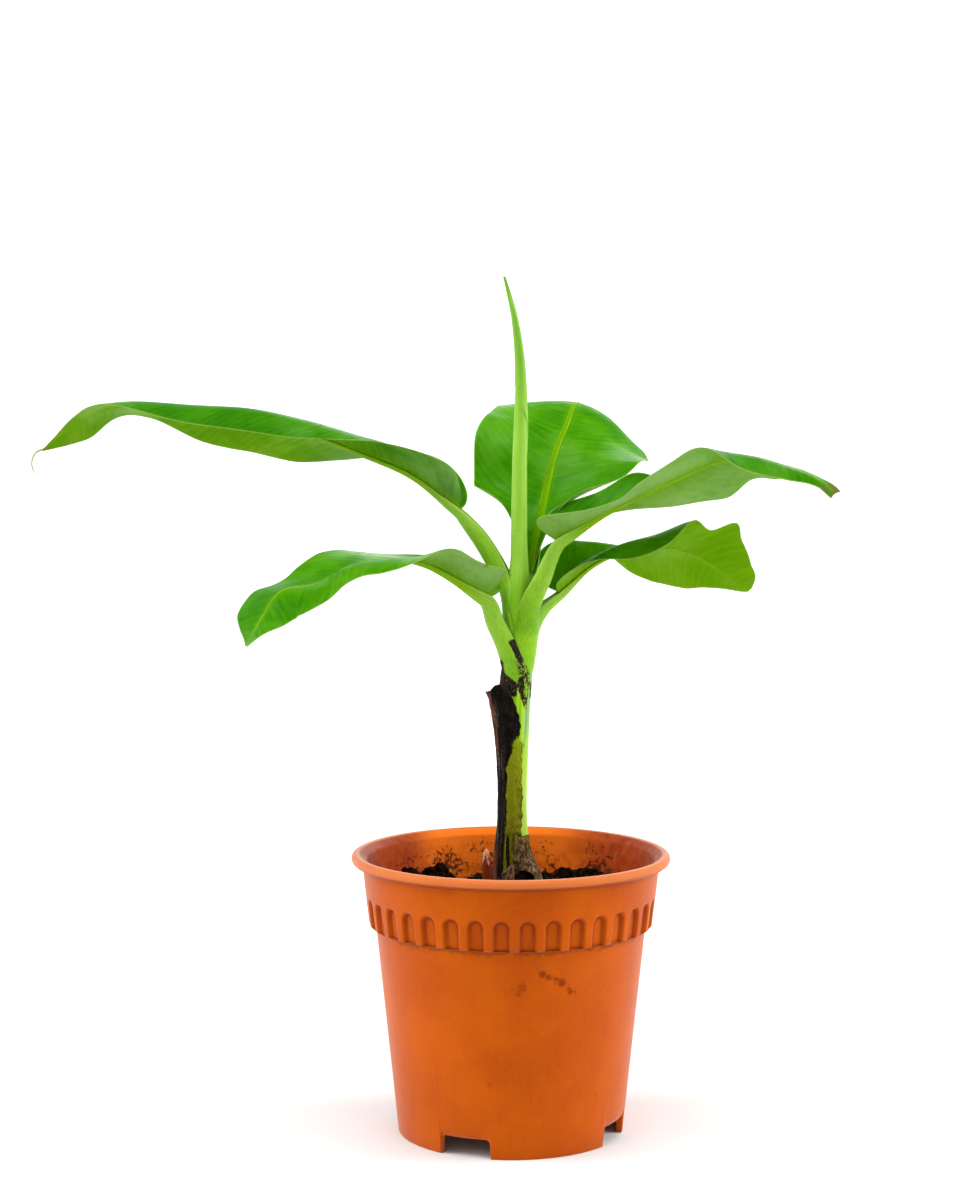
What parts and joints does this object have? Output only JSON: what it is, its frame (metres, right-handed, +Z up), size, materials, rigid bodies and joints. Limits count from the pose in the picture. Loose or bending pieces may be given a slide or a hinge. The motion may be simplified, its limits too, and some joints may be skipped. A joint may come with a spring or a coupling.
{
  "type": "potted banana plant",
  "caption": "Young banana plant with broad arching leaves and a rolled spear leaf, in a round nursery pot with a fluted collar.",
  "frame": {"origin": "middle of the bounding box's bottom face, level with the foot of the pot", "axes": "+Z up along the stem; -Y is the side of the plant shown in the picture, +X its right-hand side"},
  "size_m": [0.4932, 0.2734, 0.5351],
  "materials": {
    "pot_plastic": "satin",
    "soil": "matt, crumbly",
    "stem_green": "satin",
    "young_leaf": "satin",
    "dead_sheath": "matt",
    "dry_husk": "matt",
    "shoot": "satin",
    "stalk_green": "satin",
    "leaf_green": "satin"
  },
  "bodies": {
    "root": {"pot": "pot_plastic", "soil": "soil", "false_stem": "stem_green", "spear_leaf": "young_leaf", "old_sheath": "dead_sheath", "base_husk": "dry_husk", "side_shoot": "shoot", "stalk_lower_left": "stalk_green", "stalk_lower_right": "stalk_green", "stalk_upper_right": "stalk_green", "stalk_upper_left": "stalk_green", "stalk_back": "stalk_green", "blade_upper_left_inner": "leaf_green", "blade_upper_left_outer": "leaf_green", "blade_lower_left_inner": "leaf_green", "blade_lower_left_outer": "leaf_green", "blade_upper_right_inner": "leaf_green", "blade_upper_right_outer": "leaf_green", "blade_lower_right_inner": "leaf_green", "blade_lower_right_outer": "leaf_green", "blade_back_inner": "leaf_green", "blade_back_outer": "leaf_green"}
  },
  "joints": []
}
